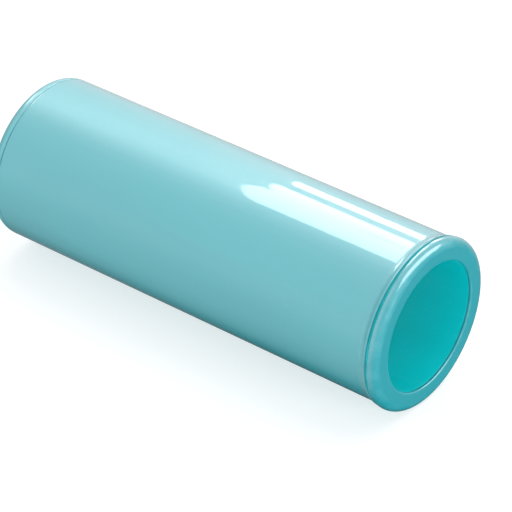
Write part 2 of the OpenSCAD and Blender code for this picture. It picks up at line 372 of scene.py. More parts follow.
def bar(bm, corners, low, high, turn=0.0, edge=0.0):
    """Adds an outline in depth and radius drawn out sideways from low to high along Y,
    then turned about the axis. Its edges are broken by edge."""
    part = bmesh.new()
    face = outline(part, corners)
    bmesh.ops.translate(part, vec=(0, low, 0), verts=part.verts[:])
    made = bmesh.ops.extrude_face_region(part, geom=[face], use_keep_orig=True)
    moved = [g for g in made["geom"] if isinstance(g, bmesh.types.BMVert)]
    bmesh.ops.translate(part, vec=(0, high - low, 0), verts=moved)
    bmesh.ops.recalc_face_normals(part, faces=part.faces[:])
    if edge:
        rounded(part, part.edges[:], "EDGES", edge, 3)
    swing(part, part.verts[:], turn)
    join(bm, part)


RIDGE_STEPS = 72  # flats round a turn of a screw ridge
RUN_OUT = 14  # flats over which a ridge rises at its start and end
RUN_OUT_SHARE = 0.04  # share of its height that a ridge starts with
# A ridge's crest takes part of that mark: rubbed wear and, on glossy plastic, a painted
# highlight.
RIDGE_WEAR_AND_HIGHLIGHT = 0.6  # mark of a ridge's crest in the edge layer
SUNK = 0.05 * MM  # how far a ridge's root is sunk in what it stands on
CAP_THREAD = 0.38 * MM  # height of the cap's and the neck's ridges


def ridge(bm, root, crest, near, far, lead, base, top, first=0.0):
    """Adds a right-handed screw ridge from the depth near to the depth far. It stands
    from the radius root to the radius crest, and runs out at both ends."""
    part = bmesh.new()
    mark = part.verts.layers.float.new(EDGE_LAYER)
    steps = round((far - near) / lead * RIDGE_STEPS)
    start = root + (crest - root) * RUN_OUT_SHARE
    corners = [place(far - base / 2, root), place(far + base / 2, root),
               place(far + top / 2, start), place(far - top / 2, start)]
    verts = [part.verts.new(corner) for corner in corners]
    face = part.faces.new(verts)
    swing(part, verts, first)
    last = [face] + list(face.edges) + verts
    for step in range(1, steps + 1):
        last = sweep(part, last, TURN / RIDGE_STEPS, 1, rise=lead / RIDGE_STEPS)
        inside = min(1.0, step / RUN_OUT, (steps - step) / RUN_OUT)
        share = max(RUN_OUT_SHARE, math.sin(inside * math.pi / 2))
        wanted = root + (crest - root) * share
        for v in (g for g in last if isinstance(g, bmesh.types.BMVert)):
            out = Vector((0, v.co.y, v.co.z - AXIS_Z))
            if abs(out.length - root) > 1e-6:
                v.co += out.normalized() * (wanted - out.length)
                v[mark] = RIDGE_WEAR_AND_HIGHLIGHT
    join(bm, part)


SEAM = 1e-7  # points closer than this are one
NO_LENGTH = 1e-8  # edges shorter than this are dropped
CREASE = 32 * DEG  # corners sharper than this stay crisp


def new_piece(name, bm, body, slot, *stands_for):
    """Ends a piece: closed seams, outward normals, smooth shading with crisp corners."""
    bmesh.ops.remove_doubles(bm, verts=bm.verts[:], dist=SEAM)
    bmesh.ops.dissolve_degenerate(bm, dist=NO_LENGTH, edges=bm.edges[:])
    bmesh.ops.recalc_face_normals(bm, faces=bm.faces[:])
    for face in bm.faces:
        face.smooth = True
    mesh = mesh_of(name, bm)
    mesh.set_sharp_from_angle(angle=CREASE)
    mesh.materials.append(finish(slot))
    piece = new_object(name, mesh)
    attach(piece, body)
    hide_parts(*stands_for)
    return piece


# Finishes ------------


def new_group(name, inputs, outputs):
    """A shader node group with named sockets: (name, kind, default)."""
    tree = bpy.data.node_groups.new(name, "ShaderNodeTree")
    for label, kind, default in inputs:
        socket = tree.interface.new_socket(name=label, in_out="INPUT",
                                           socket_type="NodeSocket" + kind)
        socket.default_value = default
    for label, kind in outputs:
        tree.interface.new_socket(name=label, in_out="OUTPUT", socket_type="NodeSocket" + kind)
    return tree, tree.nodes.new("NodeGroupInput"), tree.nodes.new("NodeGroupOutput")


def fill(tree, made, inputs):
    """Fills a node's inputs, each with a value or with another node's socket. A name's
    underscores stand for spaces, and in0, in1 ... go by place."""
    for key, value in inputs.items():
        by_place = key[:2] == "in" and key[2:].isdigit()
        socket = made.inputs[int(key[2:]) if by_place else key.replace("_", " ")]
        if isinstance(value, bpy.types.NodeSocket):
            tree.links.new(value, socket)
        else:
            socket.default_value = value
    return made


def node(tree, kind, settings=None, **inputs):
    """A shader node with its settings and inputs."""
    made = tree.nodes.new("ShaderNode" + kind)
    for key, value in (settings or {}).items():
        setattr(made, key, value)
    return fill(tree, made, inputs)


def maths(tree, operation, a, b=0.0, clamp=False):
    """A sum, product or other result of two numbers."""
    return node(tree, "Math", {"operation": operation, "use_clamp": clamp},
                in0=a, in1=b).outputs[0]


def mix(tree, share, first, second):
    """A colour that goes from first to second as share goes from 0 to 1."""
    return node(tree, "Mix", {"data_type": "RGBA"}, in0=share, in6=first, in7=second).outputs[2]


def noise(tree, vector, scale, detail, **more):
    """A noise between 0 and 1."""
    return node(tree, "TexNoise", None, Vector=vector, Scale=scale, Detail=detail,
                **more).outputs["Fac"]


def on_piece(tree):
    """Where a point lies on its piece, in metres."""
    return node(tree, "TexCoord").outputs["Object"]


def ramp(tree, value, low, high):
    """0 below low and 1 above high, smoothly."""
    return node(tree, "MapRange", {"interpolation_type": "SMOOTHSTEP"}, Value=value,
                From_Min=low, From_Max=high).outputs["Result"]


def flow_group():
    """Slow changes of colour and surface along the way the plastic flowed in the mould."""
    tree, given, out = new_group(
        "Mould flow",
        [("Colour", "Color", (0.5, 0.5, 0.5, 1)), ("Deep colour", "Color", (0.4, 0.4, 0.4, 1)),
         ("Amount", "Float", 0.2), ("Stretch", "Float", 12.0)],
        [("Colour", "Color"), ("Height", "Float")])
    finer, slow_share = 5.0, 0.8  # across the flow, and of the slow noise in both
    across = maths(tree, "MULTIPLY", given.outputs["Stretch"], finer)
    pull = node(tree, "CombineXYZ", None, X=given.outputs["Stretch"], Y=across, Z=across)
    along = node(tree, "VectorMath", {"operation": "MULTIPLY"}, in0=on_piece(tree),
                 in1=pull.outputs[0]).outputs[0]
    slow = noise(tree, along, scale=1.0, detail=3.0, Roughness=0.45, Distortion=0.4)
    fine = noise(tree, along, scale=9.0, detail=4.0, Roughness=0.6)
    both = maths(tree, "ADD", maths(tree, "MULTIPLY", slow, slow_share),
                 maths(tree, "MULTIPLY", fine, 1 - slow_share))
    share = maths(tree, "MULTIPLY", ramp(tree, both, low=0.35, high=0.7),
                  given.outputs["Amount"])
    mixed = mix(tree, share, given.outputs["Colour"], given.outputs["Deep colour"])
    fill(tree, out, {"Colour": mixed, "Height": slow})
    return tree


# Turn of each set of hairlines, and how finely it is drawn along X, Y and Z
HAIRLINE_SETS = (((0.5, 0.2, 0.3), (60, 2600, 2600)), ((0.9, 1.2, 0.5), (2200, 50, 2200)),
                 ((0.1, 0.6, 1.1), (2400, 2400, 70)))


def scratch_group():
    """Hairline scratches from handling, in three directions."""
    tree, given, out = new_group(
        "Hairlines", [("Density", "Float", 0.5), ("Size", "Float", 1.0)], [("Mask", "Float")])
    sized = node(tree, "VectorMath", {"operation": "SCALE"}, in0=on_piece(tree),
                 Scale=given.outputs["Size"]).outputs[0]
    total = 0.0
    for turn, pull in HAIRLINE_SETS:
        drawn = node(tree, "Mapping", None, Vector=sized, Scale=pull, Rotation=turn)
        lines = noise(tree, drawn.outputs["Vector"], scale=1.0, detail=1.0)
        thin = ramp(tree, lines, low=0.70, high=0.76)
        total = maths(tree, "MAXIMUM", total, thin)
    patches = noise(tree, sized, scale=55.0, detail=2.0)
    denser = maths(tree, "MULTIPLY", given.outputs["Density"], 0.3)
    where = ramp(tree, maths(tree, "ADD", patches, denser), low=0.52, high=0.75)
    fill(tree, out, {"Mask": maths(tree, "MULTIPLY", total, where, clamp=True)})
    return tree


def handling_group():
    """Roughness that changes slowly where hands and cloths have been."""
    tree, given, out = new_group(
        "Handling", [("Roughness", "Float", 0.3), ("Change", "Float", 0.1),
                     ("Hairlines", "Float", 0.0)], [("Roughness", "Float")])
    slow = noise(tree, on_piece(tree), scale=48.0, detail=5.0, Roughness=0.62,
                 Distortion=0.8)
    change = maths(tree, "MULTIPLY", maths(tree, "SUBTRACT", slow, 0.5), given.outputs["Change"])
    marks = maths(tree, "MULTIPLY", given.outputs["Hairlines"], 0.22)
    rough = maths(tree, "ADD", given.outputs["Roughness"], change)
    fill(tree, out, {"Roughness": maths(tree, "ADD", rough, marks, clamp=True)})
    return tree


def edge_group():
    """Where rounded edges are marked: a broken line along them, for rubbed wear and, on glossy
    plastic, a painted highlight.
    """
    tree, given, out = new_group("Edge wear", [("Amount", "Float", 0.5)], [("Mask", "Float")])
    edge = node(tree, "Attribute", {"attribute_name": EDGE_LAYER}).outputs["Fac"]
    narrowed = maths(tree, "POWER", edge, 1.6)
    broken = noise(tree, on_piece(tree), scale=260.0, detail=5.0, Roughness=0.7)
    mask = maths(tree, "MULTIPLY", narrowed, ramp(tree, broken, low=0.38, high=0.72))
    mask = maths(tree, "MULTIPLY", mask, given.outputs["Amount"], clamp=True)
    fill(tree, out, {"Mask": mask})
    return tree


def grain_group():
    """Fine grain of a matt or spark-eroded surface."""
    tree, given, out = new_group("Grain", [("Scale", "Float", 2000.0)], [("Height", "Float")])
    grain = noise(tree, on_piece(tree), given.outputs["Scale"], detail=4.0, Roughness=0.6)
    fill(tree, out, {"Height": grain})
    return tree


GROUP_MAKERS = {"flow": flow_group, "scratch": scratch_group, "handling": handling_group,
                "edge": edge_group, "grain": grain_group}
GROUPS = {}


def use(tree, name, **inputs):
    """Places a shared group, made when it is first used, in a material."""
    if name not in GROUPS:
        GROUPS[name] = GROUP_MAKERS[name]()
    made = tree.nodes.new("ShaderNodeGroup")
    made.node_tree = GROUPS[name]
    return fill(tree, made, inputs).outputs


def rgba(hue, share=1.0):
    """A colour, made darker or paler by a share, as a socket takes it."""
    return (*(min(1.0, c * share) for c in hue), 1.0)


def new_material(name):
    """An empty material, its node tree and its shader."""
    material = bpy.data.materials.new(name)
    material.use_nodes = True
    tree = material.node_tree
    tree.nodes.clear()
    shader = node(tree, "BsdfPrincipled")
    out = node(tree, "OutputMaterial", None, Surface=shader.outputs[0])
    out.is_active_output = True
    return material, tree, shader


def worn_and_highlit_colour(tree, hue, deep, amount, stretch, wear, worn):
    """A colour that drifts towards a deeper share of itself and takes a paler colour on its
    marked edges: rubbed wear, and on glossy plastic also a painted highlight.
    Gives the colour, the height of the flow and the mask of those edges."""
    flow = use(tree, "flow", Colour=rgba(hue), Deep_colour=rgba(hue, deep), Amount=amount,
               Stretch=stretch)
    rubbed = use(tree, "edge", Amount=wear)["Mask"]
    return mix(tree, rubbed, flow["Colour"], rgba(worn)), flow["Height"], rubbed


def skin(tree, shader, tone, roughness, change, marks, height, strength, relief):
    """Gives a shader its colour, its handled roughness and its relief."""
    handled = use(tree, "handling", Roughness=roughness, Change=change, Hairlines=marks)
    bump = node(tree, "Bump", None, Strength=strength, Distance=relief, Height=height)
    fill(tree, shader, {"Base Color": tone, "Roughness": handled["Roughness"],
                        "Normal": bump.outputs[0]})


def glossy_plastic(tree, shader, hue, roughness, level, coat, wear, hairlines=0.5, ripple=0.5,
                   amount=0.35, coat_roughness=0.03):
    """A polished moulding under its own clear skin: slow flow of colour, a faint ripple
    that bends reflections, hairlines, handling marks, and edges paled partly as rubbed wear and
    partly as a painted highlight."""
    # lift and gain make the pale tone. It lightens hairlines, and on rounded edges, in the share
    # set by wear, it is partly rubbed wear and partly a painted highlight.
    lift, gain = 0.16, 1.05
    line_share, line_height, grain_height = 0.18, -0.02, 0.004
    pale = [min(1.0, lift + c * gain) for c in hue]
    tone, flow_height, _ = worn_and_highlit_colour(tree, hue, deep=0.82, amount=amount, stretch=14.0,
                                       wear=wear, worn=pale)
    lines = use(tree, "scratch", Density=hairlines, Size=1.0)["Mask"]
    tone = mix(tree, maths(tree, "MULTIPLY", lines, line_share), tone, rgba(pale))
    cuts = maths(tree, "MULTIPLY", lines, line_height)
    grain = use(tree, "grain", Scale=900.0)["Height"]
    grain = maths(tree, "MULTIPLY", grain, grain_height)
    height = maths(tree, "ADD", maths(tree, "MULTIPLY", flow_height, ripple),
                   maths(tree, "ADD", cuts, grain))
    skin(tree, shader, tone, roughness, change=0.10, marks=lines, height=height,
         strength=0.6, relief=0.12 * MM)
    fill(tree, shader, {"Specular IOR Level": level, "Coat Weight": coat,
                        "Coat Roughness": coat_roughness})


def rubber(tree, shader, hue, roughness, level):
    """Moulded rubber: a soft skin with a fine grain, bloom and rubbed edges."""
    bloom = [0.05 + c * 1.3 for c in hue]
    tone, _, rubbed = worn_and_highlit_colour(tree, hue, deep=0.7, amount=0.6, stretch=40.0, wear=0.5,
                                  worn=bloom)
    grain = use(tree, "grain", Scale=3200.0)["Height"]
    skin(tree, shader, tone, roughness, change=0.25, marks=rubbed, height=grain,
         strength=0.5, relief=0.04 * MM)
    fill(tree, shader, {"Specular IOR Level": level})


def matt_plastic(tree, shader, hue):
    """A natural, slightly waxy moulding with a spark-eroded grain."""
    tone, _, _ = worn_and_highlit_colour(tree, hue, deep=0.86, amount=0.7, stretch=60.0, wear=0.4,
                             worn=[c * 1.2 for c in hue])
    lines = use(tree, "scratch", Density=0.5, Size=1.4)["Mask"]
    grain = use(tree, "grain", Scale=2400.0)["Height"]
    height = maths(tree, "SUBTRACT", grain, maths(tree, "MULTIPLY", lines, 0.4))
    skin(tree, shader, tone, roughness=0.42, change=0.2, marks=lines, height=height,
         strength=0.45, relief=0.05 * MM)
    fill(tree, shader, {"Subsurface Weight": 0.12, "Subsurface Radius": (0.8, 1.0, 1.0),
                        "Subsurface Scale": 2 * MM})


def spring_steel(tree, shader, hue):
    """Rolled spring steel: fine lines along the wire, brighter on its edges."""
    tone, _, _ = worn_and_highlit_colour(tree, hue, deep=0.6, amount=0.8, stretch=90.0, wear=0.8,
                             worn=[c * 1.3 for c in hue])
    lines = use(tree, "scratch", Density=0.9, Size=2.5)["Mask"]
    grain = use(tree, "grain", Scale=5000.0)["Height"]
    skin(tree, shader, tone, roughness=0.26, change=0.2, marks=lines, height=grain,
         strength=0.3, relief=0.02 * MM)
    fill(tree, shader, {"Metallic": 1.0})


def foam(tree, shader, hue):
    """Closed-cell foam: small cells and a dry, matt skin."""
    cells = node(tree, "TexVoronoi", {"feature": "DISTANCE_TO_EDGE"}, Vector=on_piece(tree),
                 Scale=2200.0).outputs["Distance"]
    walls = ramp(tree, cells, low=0.0, high=0.12)
    tone = mix(tree, walls, rgba(hue, share=0.75), rgba(hue))
    skin(tree, shader, tone, roughness=0.85, change=0.15, marks=0.0, height=walls,
         strength=0.5, relief=0.1 * MM)


# For the glossy plastics, wear sets the paler edges: rubbed wear and a painted highlight
# together.
# Slot, its material's name, what makes it, its colour and its own values
MAKERS = {
    "shell_plastic": ("Casing plastic", glossy_plastic, "shell", {
        "roughness": 0.42, "level": 1.0, "coat": 1.0, "wear": 0.18, "hairlines": 0.35,
        "ripple": 0.6}),
    "rim_plastic": ("Rim plastic", glossy_plastic, "rim", {
        "roughness": 0.30, "level": 0.9, "coat": 0.9, "wear": 0.22, "ripple": 0.1,
        "amount": 0.10}),
    "liner_plastic": ("Liner plastic", glossy_plastic, "liner", {
        "roughness": 0.34, "level": 0.3, "coat": 0.2, "wear": 0.2, "ripple": 0.35,
        "coat_roughness": 0.08}),
    "gasket_rubber": ("Gasket rubber", rubber, "gasket", {"roughness": 0.6, "level": 0.1}),
    "seal_rubber": ("Seal rubber", rubber, "seal", {"roughness": 0.5, "level": 0.5}),
    "wiper_rubber": ("Wiper rubber", rubber, "wiper", {"roughness": 0.45, "level": 0.5}),
    "piston_plastic": ("Piston plastic", matt_plastic, "piston", {}),
    "spring_steel": ("Spring steel", spring_steel, "steel", {}),
    "seal_foam": ("Seal foam", foam, "foam", {}),
}
FINISHES = {}


def finish(slot):
    """The finish of a material slot, made when it is first asked for."""
    if slot not in FINISHES:
        name, make, colour_name, values = MAKERS[slot]
        FINISHES[slot], tree, shader = new_material(name)
        make(tree, shader, getattr(bpy.context.scene.tube_colours, colour_name), **values)
    return FINISHES[slot]


# Pieces ------------


class BuildShell(bpy.types.Operator):
    """Turns the outer shell with its flared open end"""

    bl_idname = "paint_tube.shell"
    bl_label = "Outer shell"

    def execute(self, context):
        size = context.scene.tube_sizes
        land_end = size.shell_start + size.flare_land
        rise = size.flare_radius - size.shell_radius
        arc = (size.flare_length ** 2 + rise ** 2) / (2 * rise)
        slope = size.flare_length / (arc - rise)
        corner = land_end + rise / slope
        most = 0.999 * (land_end + size.flare_length - corner)
        bm = turned([
            (size.shell_start, size.bore_radius, SMALL),
            (size.shell_start, size.flare_radius, size.flare_rounding),
            (land_end, size.flare_radius, EDGE),
            (corner, size.shell_radius, most),
            (size.shell_end, size.shell_radius, PLAIN),
            (size.shell_end, size.bore_radius, CRISP),
        ])
        new_piece("casing_moulding", bm, "casing", "shell_plastic", "outer_shell")
        return {"FINISHED"}


class BuildFrontEnd(bpy.types.Operator):
    """Turns the front end: its face, the well, the threaded neck and the slotted sleeve"""

    bl_idname = "paint_tube.front_end"
    bl_label = "Front end"

    def execute(self, context):
        size = context.scene.tube_sizes
        face, floor = size.front_face, size.front_face - size.well_depth
        back = floor - size.front_wall
        inner = face - size.front_wall
        neck_top = floor + size.neck_height
        skirt = size.well_radius + size.front_wall
        floor_fillet = 0.9 * MM
        bm = turned([
            (size.shell_end, size.shell_radius, PLAIN),
            (face, size.shell_radius, size.front_rounding),
            (face, size.well_radius, size.well_rounding),
            (floor, size.well_radius, floor_fillet), (floor, size.neck_radius, SOFT),
            (neck_top, size.neck_radius, PLAIN), (neck_top, size.outlet_radius, SMALL),
            (back + size.socket_depth, size.outlet_radius, FINE),
            (back + size.socket_depth, size.socket_radius, CRISP),
            (back, size.socket_radius, PLAIN), (back, skirt, EASED),
            (inner, skirt, BOLD), (inner, size.sleeve_bore, BOLD),
            (back, size.sleeve_bore, 0), (back, size.sleeve_radius, 0),
            (size.shell_end, size.sleeve_radius, 0),
        ])
        gap, pitch = size.key_slot / size.sleeve_bore, TURN / KEYS
        foot = back + 0.02 * MM
        for k in range(KEYS):
            part_turned(bm, [
                (size.sleeve_start, size.sleeve_bore, SMALL),
                (size.sleeve_start, size.sleeve_radius, EASED),
                (foot, size.sleeve_radius, 0), (foot, size.sleeve_bore, 0),
            ], FIRST_KEY + k * pitch + gap / 2, pitch - gap, steps=60)
        ridge(bm, size.neck_radius - SUNK, size.neck_radius + CAP_THREAD,
              near=floor + 1.7 * MM, far=neck_top - 1.1 * MM,
              lead=context.scene.cap_sizes.thread_lead, base=1.3 * MM, top=0.55 * MM)
        new_piece("front_moulding", bm, "casing", "shell_plastic", "front_end")
        return {"FINISHED"}


class BuildLiner(bpy.types.Operator):
    """Turns the liner, and adds its keys, clip, stop ring and nose seal"""

    bl_idname = "paint_tube.liner"
    bl_label = "Liner"

    def execute(self, context):
        size = context.scene.liner_sizes
        rim = context.scene.rim_sizes
        bite, run = 0.45 * MM, 0.05 * MM  # of the spring rings in their grooves
        clip_wire, stop_stand = 0.8 * MM, 0.55 * MM
        lead_in = 0.06 * MM
        key_root = size.radius - 0.3 * MM
        key_top = size.radius + size.key_height
        outlet = context.scene.tube_sizes.outlet_radius
        nose_at = (size.seat + size.nose_end) / 2
        half = size.nose_groove_width / 2
        clip = rim.clip_depth
        stop = size.stop_depth
        ring_half = size.ring_width / 2 + run
        bm = turned([
            (size.start, size.bore, EDGE), (size.start, size.radius, PLAIN),
            (clip - ring_half, size.radius, 0), (clip - ring_half, size.radius - bite, 0),
            (clip + ring_half, size.radius - bite, 0), (clip + ring_half, size.radius, 0),
            (size.corner, size.radius, FULL),
            (size.boss_corner, size.boss_radius, SMALL),
            (size.seat, size.boss_radius, EASED), (size.seat, size.nose_radius, FINE),
            (nose_at - half, size.nose_radius, CRISP),
            (nose_at - half, size.nose_radius - size.nose_groove, CRISP),
            (nose_at + half, size.nose_radius - size.nose_groove, CRISP),
            (nose_at + half, size.nose_radius, CRISP),
            (size.nose_end, size.nose_radius, PLAIN), (size.nose_end, outlet, FINE),
            (size.cone_tip, outlet, GENTLE),
            (size.cone_start, size.bore, 1.2 * MM),
            (stop + ring_half, size.bore, lead_in),
            (stop + ring_half, size.bore + bite + run, 0),
            (stop - ring_half, size.bore + bite + run, 0),
            (stop - ring_half, size.bore, lead_in),
        ])
        for k in range(KEYS):
            bar(bm, [
                (size.key_start, key_root, 0), (size.key_start, key_top, 0),
                (size.key_end, key_top, 0), (size.key_end, key_root, 0),
            ], -size.key_width / 2, size.key_width / 2, FIRST_KEY + k * TURN / KEYS, FINE)
        new_piece("liner_moulding", bm, "liner", "liner_plastic", "inner_liner")

        low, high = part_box("retaining_clip")
        outer = (high.z - low.z) / 2
        bm = self.open_ring(clip, outer - clip_wire, outer, size.ring_width)
        new_piece("clip_wire", bm, "liner", "spring_steel", "retaining_clip")

        bm = self.open_ring(stop, size.bore - stop_stand, size.bore + bite, size.ring_width)
        new_piece("stop_ring_wire", bm, "liner", "spring_steel", "piston_stop_ring")

        bm = bmesh.new()
        low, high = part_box("liner_nose_seal")
        wire = size.nose_seal_wire
        centre = (high.z - low.z) / 2 - wire
        made = bmesh.ops.create_circle(
            bm, segments=24, radius=wire,
            matrix=Matrix.Translation(place(nose_at, centre)) @ Matrix.Rotation(90 * DEG, 4, "X"))
        edges = list({e for v in made["verts"] for e in v.link_edges})
        sweep(bm, edges + made["verts"], TURN, STEPS // 2, closed=True)
        new_piece("nose_o_ring", bm, "liner", "seal_rubber", "liner_nose_seal")
        return {"FINISHED"}

    @staticmethod
    def open_ring(at, inner, outer, width):
        """A flat spring ring with a gap of 30 degrees."""
        edge = 0.12 * MM
        bm = bmesh.new()
        part_turned(bm, [
            (at - width / 2, inner, edge), (at - width / 2, outer, edge),
            (at + width / 2, outer, edge), (at + width / 2, inner, edge),
        ], first=-75 * DEG, angle=330 * DEG, steps=176)
        return bm


class BuildRim(bpy.types.Operator):
    """Turns the rim ring with its screw spigot, and its gasket"""

    bl_idname = "paint_tube.rim"
    bl_label = "Rim ring and gasket"

    def execute(self, context):
        size = context.scene.rim_sizes
        core = size.spigot_radius - size.thread_depth
        ring_half, bite = 0.5 * MM, 0.45 * MM  # of the clip's groove
        groove = size.spigot_bore + bite
        relief = size.thickness + 0.9 * MM
        inset = 0.9 * MM  # of the thread from both its ends
        bm = turned([
            (0, size.mouth_radius, size.mouth_rounding), (0, size.radius, size.rounding),
            (size.thickness, size.radius, PLAIN), (size.thickness, size.spigot_radius, 0),
            (relief, size.spigot_radius, CRISP),
            (relief + 0.3 * MM, core, CRISP),
            (size.spigot_end - 0.8 * MM, core, SMALL),
            (size.spigot_end, core - 0.1 * MM, SMALL),
            (size.spigot_end, size.spigot_bore, FINE),
            (size.clip_depth + ring_half, size.spigot_bore, 0),
            (size.clip_depth + ring_half, groove, 0),
            (size.clip_depth - ring_half, groove, 0),
            (size.clip_depth - ring_half, size.spigot_bore, 0),
            (size.lip, size.spigot_bore, CRISP), (size.lip, size.mouth_radius, EDGE),
        ])
        for start in (0.0, math.pi):
            ridge(bm, core - SUNK, size.spigot_radius - 0.02 * MM, near=relief + inset,
                  far=size.spigot_end - inset, lead=size.thread_lead, base=1.3 * MM,
                  top=0.5 * MM, first=start)
        new_piece("rim_moulding", bm, "rim", "rim_plastic", "rim_ring")

        shell_start = context.scene.tube_sizes.shell_start
        bm = turned([
            (size.thickness, size.gasket_inner, CRISP),
            (size.thickness, size.gasket_outer, SMALL),
            (shell_start, size.gasket_outer, SMALL), (shell_start, size.gasket_inner, CRISP),
        ])
        new_piece("rim_seal_ring", bm, "rim", "gasket_rubber", "rim_gasket")
        return {"FINISHED"}


class BuildPiston(bpy.types.Operator):
    """Turns the follower piston with its ribs and hub, and its two wiper seals"""

    bl_idname = "paint_tube.piston"
    bl_label = "Piston and wipers"

    def execute(self, context):
        size = context.scene.piston_sizes
        outlet = context.scene.tube_sizes.outlet_radius
        front = size.rear + size.wall_length
        tip = front + size.cone
        cup = size.radius - size.wall
        rib_rear = size.rear + size.rib_back
        slope = size.cone / (cup - outlet)
        hub_foot = tip - size.web - slope * (size.hub_radius - outlet)
        groove = size.radius - size.wiper_groove
        play = 0.05 * MM
        half = size.wiper_width / 2 + play
        dimple = rib_rear + 0.3 * MM
        rib_foot, into_cup, into_web = size.hub_radius - 0.7 * MM, 0.5 * MM, 0.4 * MM
        wipers = (("rear_wiper", size.rear + size.wiper_inset, "rear_wiper_seal"),
                  ("front_wiper", front - size.wiper_inset, "front_wiper_seal"))
        grooves = []
        for _, at, _ in wipers:
            grooves += [(at - half, size.radius, CRISP), (at - half, groove, CRISP),
                        (at + half, groove, CRISP), (at + half, size.radius, CRISP)]
        bm = turned([
            (dimple, 0, 0), (dimple, 0.75 * MM, FINE),
            (rib_rear, 1.0 * MM, FINE), (rib_rear, size.hub_radius, MILD),
            (hub_foot, size.hub_radius, FULL),
            (front - size.web, cup, 1.2 * MM),
            (size.rear, cup, SOFT), (size.rear, size.radius, MILD),
            *grooves,
            (front, size.radius, GENTLE),
            (tip, outlet, SMALL), (tip, size.plug_radius, CRISP),
            (size.plug_end, size.plug_radius, MILD), (size.plug_end, 0, 0),
        ])
        for k in range(size.rib_count):
            bar(bm, [
                (rib_rear, rib_foot, 0), (rib_rear, cup + into_cup, 0),
                (front - size.web + into_web, cup + into_cup, 0),
                (hub_foot + into_web, rib_foot, 0),
            ], -size.rib / 2, size.rib / 2, FIRST_KEY + k * TURN / size.rib_count,
                edge=0.28 * MM)
        new_piece("piston_moulding", bm, "piston", "piston_plastic", "follower_piston")
        for name, at, stands_for in wipers:
            wide = size.wiper_width / 2
            root = groove + play
            bm = turned([
                (at - wide, root, FINE), (at - wide, size.wiper_radius, wide * 0.99),
                (at + wide, size.wiper_radius, wide * 0.99), (at + wide, root, FINE),
            ])
            new_piece(name, bm, "piston", "wiper_rubber", stands_for)
        return {"FINISHED"}


class BuildCap(bpy.types.Operator):
    """Turns the screw cap with its finger bar and inner thread, and its seal"""

    bl_idname = "paint_tube.cap"
    bl_label = "Screw cap and seal"

    def execute(self, context):
        size = context.scene.cap_sizes
        rim = size.radius - size.wall
        front = size.plate + size.wall
        sleeve = size.sleeve_bore + size.wall
        bm = turned([
            (front, 0, 0), (front, rim, FULL),
            (size.top, rim, GENTLE), (size.top, size.radius, BOLD),
            (size.foot, size.radius, PLAIN), (size.foot, rim, PLAIN),
            (size.plate, rim, SOFT), (size.plate, sleeve, SOFT),
            (size.foot, sleeve, PLAIN), (size.foot, size.sleeve_bore, EASED),
            (size.plate, size.sleeve_bore, CRISP), (size.plate, 0, 0),
        ])
        ridge(bm, size.sleeve_bore + SUNK, size.sleeve_bore - CAP_THREAD,
              near=size.foot + 0.9 * MM, far=size.plate - 1.6 * MM, lead=size.thread_lead,
              base=1.2 * MM, top=0.5 * MM, first=math.pi)
        half, foot = size.bar_width / 2, front - 0.03 * MM
        sunk, crown = 0.5 * MM, 0.7 * MM
        reach, spread = rim + sunk, half + 1.0 * MM
        bar(bm, [
            (front - sunk, -spread, 0),
            (foot, -spread, 0), (foot, -half, FULL),
            (size.top - size.bar_drop, -half, crown), (size.top - size.bar_drop, half, crown),
            (foot, half, FULL), (foot, spread, 0),
            (front - sunk, spread, 0),
        ], -reach, reach, turn=90 * DEG)
        new_piece("cap_moulding", bm, "cap", "liner_plastic", "screw_cap")

        seal = size.plate - size.seal_thickness
        bm = turned([
            (seal, 0, 0), (seal, size.seal_radius, FINE),
            (size.plate, size.seal_radius, FINE), (size.plate, 0, 0),
        ], steps=STEPS // 2)
        new_piece("cap_foam_disc", bm, "cap_disc", "seal_foam", "cap_seal")
        return {"FINISHED"}


# Studio ------------

FLOOR_RADIUS = 3.0
FLOOR_GLOW = 0.62  # keeps the floor as pale as the air round it
AIM = Vector((0.02, 0.0, AXIS_Z))
FRONT_AIM = AIM + Vector((-0.373, 0, 0))

# Name, centre, what it faces, its two sides, its radiance and what sees it
SOFTBOXES = (
    ("top_box", (-0.227, 0.199, 0.544), AIM, 0.17, 0.245, 6.8, "gloss"),
    ("back_box", (-0.216, 0.379, 0.443), AIM, 0.18, 0.15, 7.2, "gloss"),
    ("strip_box", (-0.2135, 0.511, 0.236), AIM, 0.16, 0.12, 7.2, "gloss"),
    ("far_box", (-0.60, 0.199, 0.544), FRONT_AIM, 0.20, 0.245, 6.8, "gloss"),
    ("rim_box", (0.46, 0.24, 0.48), AIM, 0.38, 0.95, 4.6, "gloss"),
    ("low_fill", (0.0, -1.0, 0.06), AIM, 1.8, 0.24, 1.3, "matt"),
    ("over_fill", (0.02, 0.55, 1.10), AIM, 1.6, 1.2, 0.95, "matt"),
    ("mouth_fill", (1.1, -0.12, 0.20), AIM, 0.5, 0.5, 9.0, "matt"),
)

AIR = 0.72  # radiance of the air that matt surfaces see
CAMERA_AIR = 1.0  # and of the air that the camera sees
GLOSS_AIR = 2.0  # and of the brightest air that gloss sees
# From the darkest way (0) to the brightest (1): the way, and its share of GLOSS_AIR
AIR_STOPS = ((0.04, 0.02), (0.11, 0.20), (0.25, 0.42), (0.50, 0.68), (0.65, 0.90), (0.95, 1.0))
AIR_LEAN = 0.35  # how far the brightest way leans from +Z towards -Y
MOUTH_END = (-0.2, 0.4)  # ways along +X over which gloss dims
FRONT_END = (0.68, 0.9)  # ways along -X over which it dims
END_DIM = 0.5

LENS, SENSOR = 195.6, 36.0  # in millimetres
CAMERA_TURN, CAMERA_RISE = 38.31 * DEG, 34.66 * DEG
CAMERA_AT = (0.33143, -0.40962, 0.37961)


